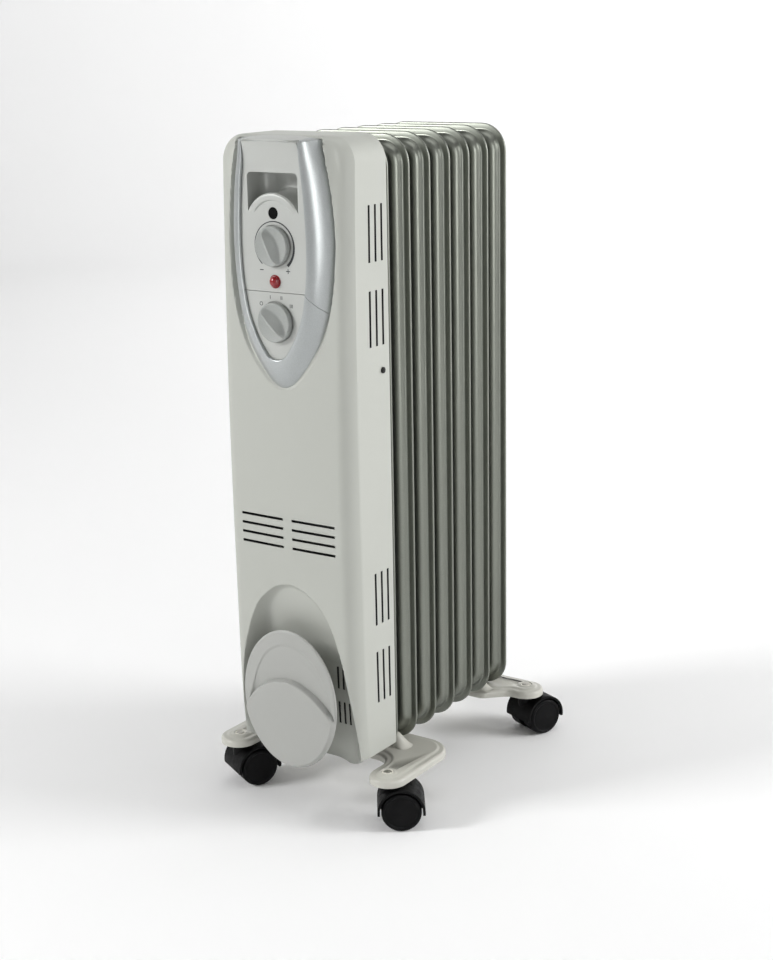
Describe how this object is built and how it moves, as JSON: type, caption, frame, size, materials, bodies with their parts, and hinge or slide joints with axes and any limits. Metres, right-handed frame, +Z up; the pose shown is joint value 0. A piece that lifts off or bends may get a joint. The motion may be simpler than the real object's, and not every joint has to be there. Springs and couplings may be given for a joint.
{
  "type": "oil filled radiator heater",
  "caption": "Free-standing oil filled radiator heater: finned steel oil tank, control housing with hand grip and knobs, cord-wrap cover, and foot brackets on swivel casters.",
  "frame": {"origin": "on the floor, under the middle of the whole heater", "axes": "+Z up, the control panel faces -Y, the fins are stacked along +Y, +X is to the right of someone facing the control panel"},
  "size_m": [0.2548, 0.3418, 0.635],
  "materials": {
    "fin_paint": "silver-grey stoved metallic paint, satin",
    "shell_plastic": "moulded warm light grey plastic, fine satin",
    "bezel_silver": "moulded plastic with silver lacquer, satin gloss",
    "panel_plastic": "moulded pale grey plastic, satin",
    "cover_plastic": "moulded grey plastic, satin",
    "bracket_paint": "pressed steel, pale warm grey stoved enamel",
    "black_plastic": "moulded black nylon, satin",
    "blank_black": "moulded black plastic, glossy",
    "pilot_red": "translucent red plastic, glossy",
    "bare_steel": "zinc plated steel",
    "black_steel": "blackened steel screw",
    "plate_steel": "galvanised sheet steel",
    "element_steel": "annealed steel tube",
    "gasket_rubber": "heat-proof rubber",
    "white_nylon": "moulded natural nylon",
    "wire_sleeve": "silicone wire insulation, grey",
    "lamp_glass": "neon lamp glass",
    "switch_plastic": "moulded dark thermoset"
  },
  "bodies": {
    "heater": {"bezel_lower": "bezel_silver", "bezel_upper": "bezel_silver", "bracket_bolts": "bare_steel", "caster_sockets": "white_nylon", "cord_cover": "cover_plastic", "cord_gland": "black_plastic", "cord_hub": "shell_plastic", "element_flange": "bare_steel", "element_gasket": "gasket_rubber", "filler_plug": "bare_steel", "fin_1": "fin_paint", "fin_2": "fin_paint", "fin_3": "fin_paint", "fin_4": "fin_paint", "fin_5": "fin_paint", "fin_6": "fin_paint", "fin_7": "fin_paint", "front_bracket": "bracket_paint", "grip_cup": "panel_plastic", "header_collars": "fin_paint", "heating_element": "element_steel", "housing_screws": "black_steel", "housing_shell": "shell_plastic", "internal_wires": "wire_sleeve", "mounting_plate": "plate_steel", "panel_lower": "panel_plastic", "panel_upper": "panel_plastic", "pilot_lamp": "lamp_glass", "pilot_lens": "pilot_red", "rear_bracket": "bracket_paint", "round_blank": "blank_black", "selector_switch": "switch_plastic", "terminal_block": "white_nylon", "thermal_cutout": "switch_plastic", "thermostat": "switch_plastic", "wing_nuts": "bare_steel"},
    "thermostat_control": {"thermostat_knob": "bezel_silver", "thermostat_shaft": "bare_steel"},
    "selector_control": {"selector_knob": "bezel_silver", "selector_shaft": "bare_steel"},
    "caster_front_right": {"hood_front_right": "black_plastic", "stem_front_right": "bare_steel", "axle_front_right": "bare_steel"},
    "left_wheel_front_right": {"wheel_left_front_right": "black_plastic"},
    "right_wheel_front_right": {"wheel_right_front_right": "black_plastic"},
    "caster_front_left": {"hood_front_left": "black_plastic", "stem_front_left": "bare_steel", "axle_front_left": "bare_steel"},
    "left_wheel_front_left": {"wheel_left_front_left": "black_plastic"},
    "right_wheel_front_left": {"wheel_right_front_left": "black_plastic"},
    "caster_rear_right": {"hood_rear_right": "black_plastic", "stem_rear_right": "bare_steel", "axle_rear_right": "bare_steel"},
    "left_wheel_rear_right": {"wheel_left_rear_right": "black_plastic"},
    "right_wheel_rear_right": {"wheel_right_rear_right": "black_plastic"},
    "caster_rear_left": {"hood_rear_left": "black_plastic", "stem_rear_left": "bare_steel", "axle_rear_left": "bare_steel"},
    "left_wheel_rear_left": {"wheel_left_rear_left": "black_plastic"},
    "right_wheel_rear_left": {"wheel_right_rear_left": "black_plastic"}
  },
  "joints": [
    {"name": "thermostat_turn", "type": "hinge", "parent": "heater", "child": "thermostat_control", "pos_m": [0, -0.15884, 0.5406], "axis": [0, 1, 0], "range_deg": [-117, 169]},
    {"name": "selector_turn", "type": "hinge", "parent": "heater", "child": "selector_control", "pos_m": [0, -0.15884, 0.4735], "axis": [0, 1, 0], "range_deg": [0, 96]},
    {"name": "swivel_front_right", "type": "hinge", "parent": "heater", "child": "caster_front_right", "pos_m": [0.088, -0.12744, 0.045], "axis": [0, 0, 1], "continuous": true},
    {"name": "roll_left_front_right", "type": "hinge", "parent": "caster_front_right", "child": "left_wheel_front_right", "pos_m": [0.09783, -0.12056, 0.019], "axis": [-0.5736, 0.8192, 0], "continuous": true},
    {"name": "roll_right_front_right", "type": "hinge", "parent": "caster_front_right", "child": "right_wheel_front_right", "pos_m": [0.09783, -0.12056, 0.019], "axis": [-0.5736, 0.8192, 0], "continuous": true},
    {"name": "swivel_front_left", "type": "hinge", "parent": "heater", "child": "caster_front_left", "pos_m": [-0.088, -0.12744, 0.045], "axis": [0, 0, 1], "continuous": true},
    {"name": "roll_left_front_left", "type": "hinge", "parent": "caster_front_left", "child": "left_wheel_front_left", "pos_m": [-0.08237, -0.11685, 0.019], "axis": [-0.8829, 0.4695, 0], "continuous": true},
    {"name": "roll_right_front_left", "type": "hinge", "parent": "caster_front_left", "child": "right_wheel_front_left", "pos_m": [-0.08237, -0.11685, 0.019], "axis": [-0.8829, 0.4695, 0], "continuous": true},
    {"name": "swivel_rear_right", "type": "hinge", "parent": "heater", "child": "caster_rear_right", "pos_m": [0.088, 0.13156, 0.045], "axis": [0, 0, 1], "continuous": true},
    {"name": "roll_left_rear_right", "type": "hinge", "parent": "caster_rear_right", "child": "left_wheel_rear_right", "pos_m": [0.09269, 0.14261, 0.019], "axis": [-0.9205, 0.3907, 0], "continuous": true},
    {"name": "roll_right_rear_right", "type": "hinge", "parent": "caster_rear_right", "child": "right_wheel_rear_right", "pos_m": [0.09269, 0.14261, 0.019], "axis": [-0.9205, 0.3907, 0], "continuous": true},
    {"name": "swivel_rear_left", "type": "hinge", "parent": "heater", "child": "caster_rear_left", "pos_m": [-0.088, 0.13156, 0.045], "axis": [0, 0, 1], "continuous": true},
    {"name": "roll_left_rear_left", "type": "hinge", "parent": "caster_rear_left", "child": "left_wheel_rear_left", "pos_m": [-0.09783, 0.13844, 0.019], "axis": [-0.5736, -0.8192, 0], "continuous": true},
    {"name": "roll_right_rear_left", "type": "hinge", "parent": "caster_rear_left", "child": "right_wheel_rear_left", "pos_m": [-0.09783, 0.13844, 0.019], "axis": [-0.5736, -0.8192, 0], "continuous": true}
  ]
}
